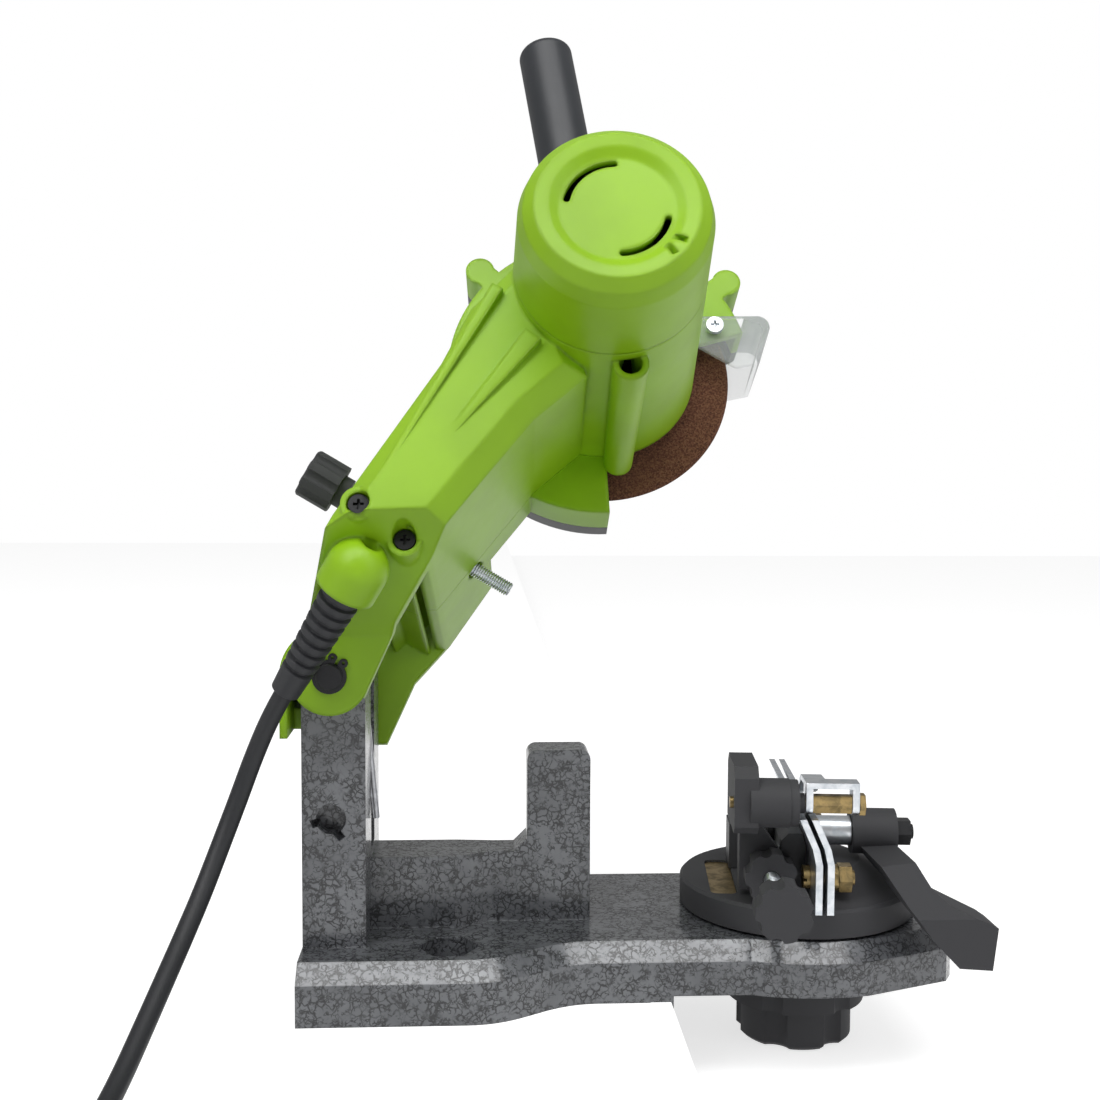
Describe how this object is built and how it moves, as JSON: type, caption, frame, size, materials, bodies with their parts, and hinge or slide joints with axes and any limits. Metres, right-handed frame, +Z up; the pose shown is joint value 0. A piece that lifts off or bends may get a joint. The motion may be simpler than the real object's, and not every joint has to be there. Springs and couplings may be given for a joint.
{
  "type": "electric chainsaw sharpener",
  "caption": "Bench-mounted electric grinder for saw chain: sprung tilting head with guarded wheel, swivelling chain vise with clamp lever and chain stop, mains cord.",
  "frame": {"origin": "midway between the two bench bolt holes in the plane of the bench top", "axes": "+X towards the operator's end with the vise, +Y away from the side the motor cap faces, +Z up"},
  "size_m": [0.4153, 0.3075, 0.4111],
  "materials": {
    "base_paint": "grey hammered paint with black speckle",
    "green_plastic": "fine moulded texture",
    "black_plastic": "satin moulded",
    "black_gloss": "moulded",
    "guard_grey": "dark grey moulded",
    "cord_rubber": "matt",
    "handle_rubber": "matt",
    "wheel_abrasive": "coarse abrasive grain",
    "zinc_steel": "zinc plated",
    "spring_steel": "drawn wire",
    "yellow_zinc": "yellow passivated",
    "black_steel": "black painted",
    "cast_black": "black painted cast",
    "table_alu": "cast, machined top",
    "bearing_steel": "ground",
    "lamination": "stacked laminations",
    "copper": "turned copper",
    "carbon": "pressed carbon",
    "clear_plastic": "clear moulded",
    "rocker_black": "moulded",
    "pin_brass": "nickel plated"
  },
  "bodies": {
    "base": {"base_casting": "base_paint", "return_spring": "spring_steel", "pivot_washer": "zinc_steel", "mains_cord": "cord_rubber", "cord_coil": "cord_rubber", "mains_plug": "cord_rubber", "plug_pins": "pin_brass"},
    "head": {"main_housing": "green_plastic", "rear_shell": "green_plastic", "motor_cap": "green_plastic", "guard_cover": "guard_grey", "guard_screws": "black_steel", "housing_screws": "black_steel", "bearing_plate": "table_alu", "ball_bearings": "bearing_steel", "stator": "lamination", "brush_ring": "black_plastic", "carbon_brushes": "carbon", "handle_grip": "handle_rubber", "switch_body": "black_gloss", "visor_screws": "zinc_steel", "cord_boot": "cord_rubber", "depth_lock_nut": "zinc_steel", "hinge_pin": "black_steel", "hinge_circlips": "black_steel"},
    "spindle": {"motor_shaft": "zinc_steel", "grinding_wheel": "wheel_abrasive", "inner_flange": "zinc_steel", "outer_flange": "zinc_steel", "flange_nut": "yellow_zinc", "rotor_core": "lamination", "commutator": "copper", "cooling_fan": "black_plastic"},
    "visor": {"visor": "clear_plastic"},
    "rocker": {"switch_rocker": "rocker_black"},
    "depth_rod": {"depth_screw": "zinc_steel"},
    "depth_knob": {"depth_knob": "black_plastic"},
    "turntable": {"turntable": "black_plastic", "index_plate": "yellow_zinc", "pivot_bolt": "zinc_steel", "vise_body": "cast_black", "fixed_rail": "zinc_steel", "rail_guide_bolts": "yellow_zinc", "rail_washers": "yellow_zinc", "rail_nuts": "yellow_zinc", "clamp_bolt": "black_steel", "clamp_sleeve": "zinc_steel"},
    "lock_knob": {"lock_knob": "black_plastic"},
    "clamp_lever": {"clamp_lever": "black_plastic", "clamp_nut": "black_steel"},
    "moving_rail": {"moving_rail": "zinc_steel"},
    "adjuster": {"adjuster_screw": "zinc_steel", "adjuster_knob": "black_plastic"},
    "stop_carrier": {"stop_carrier": "black_plastic", "stop_collar": "black_plastic", "stop_pivot_bolt": "yellow_zinc"},
    "chain_stop": {"stop_bracket": "zinc_steel", "stop_spacer": "yellow_zinc"},
    "stop_lock_knob": {"stop_lock_knob": "black_plastic"}
  },
  "joints": [
    {"name": "head_hinge", "type": "hinge", "parent": "base", "child": "head", "pos_m": [-0.0433, 0.009, 0.1262], "axis": [0, 1, 0], "range_deg": [0, 46], "stiffness_Nm_per_rad": 2, "springref_deg": -74.48},
    {"name": "spindle_spin", "type": "hinge", "parent": "head", "child": "spindle", "pos_m": [0.0612, 0.0275, 0.239], "axis": [-0.0338, -0.9184, 0.3941], "continuous": true},
    {"name": "visor_tilt", "type": "hinge", "parent": "head", "child": "visor", "pos_m": [0.10933, 0.03744, 0.25487], "axis": [-0.0338, -0.9184, 0.3941], "range_deg": [0, 20]},
    {"name": "switch_rock", "type": "hinge", "parent": "head", "child": "rocker", "pos_m": [0.08255, -0.01833, 0.29134], "axis": [0.7876, -0.2672, -0.5553], "range_deg": [-8, 8]},
    {"name": "depth_slide", "type": "slide", "parent": "head", "child": "depth_rod", "axis": [0.8625, 0, -0.506], "range_m": [-0.004, 0.012]},
    {"name": "depth_knob_turn", "type": "hinge", "parent": "depth_rod", "child": "depth_knob", "pos_m": [-0.04971, -0.005, 0.19721], "axis": [0.8625, 0, -0.506], "range_deg": [-1440, 4320]},
    {"name": "turntable_swivel", "type": "hinge", "parent": "base", "child": "turntable", "pos_m": [0.143, 0.009, 0.0232], "axis": [0, 0, 1], "range_deg": [-29, 41]},
    {"name": "lock_knob_turn", "type": "hinge", "parent": "turntable", "child": "lock_knob", "pos_m": [0.143, 0.009, -0.015], "axis": [0, 0, 1], "range_deg": [-360, 360]},
    {"name": "clamp_lever_turn", "type": "hinge", "parent": "turntable", "child": "clamp_lever", "pos_m": [0.17363, 0.00382, 0.0535], "axis": [-0.9947, 0.1028, 0], "range_deg": [0, 70]},
    {"name": "moving_rail_slide", "type": "slide", "parent": "turntable", "child": "moving_rail", "axis": [0.9947, -0.1028, 0], "range_m": [0, 0.0006]},
    {"name": "adjuster_turn", "type": "hinge", "parent": "turntable", "child": "adjuster", "pos_m": [0.12056, -0.0671, 0.0446], "axis": [0.1028, 0.9947, 0], "range_deg": [-1145, 1145]},
    {"name": "carrier_slide", "type": "slide", "parent": "turntable", "child": "stop_carrier", "axis": [0.1028, 0.9947, 0], "range_m": [-0.004, 0.004]},
    {"name": "chain_stop_flip", "type": "hinge", "parent": "stop_carrier", "child": "chain_stop", "pos_m": [0.13807, -0.03875, 0.076], "axis": [0.9947, -0.1028, 0], "range_deg": [0, 80]},
    {"name": "stop_lock_turn", "type": "hinge", "parent": "stop_carrier", "child": "stop_lock_knob", "pos_m": [0.12467, -0.02731, 0.0446], "axis": [0.1028, 0.9947, 0], "range_deg": [-180, 180]}
  ],
  "couplings": [
    {"joint": "depth_slide", "follows": "depth_knob_turn", "m_per_rad": 0.00015915},
    {"joint": "moving_rail_slide", "follows": "clamp_lever_turn", "m_per_rad": 0.00049111},
    {"joint": "carrier_slide", "follows": "adjuster_turn", "m_per_rad": 0.00019894}
  ]
}
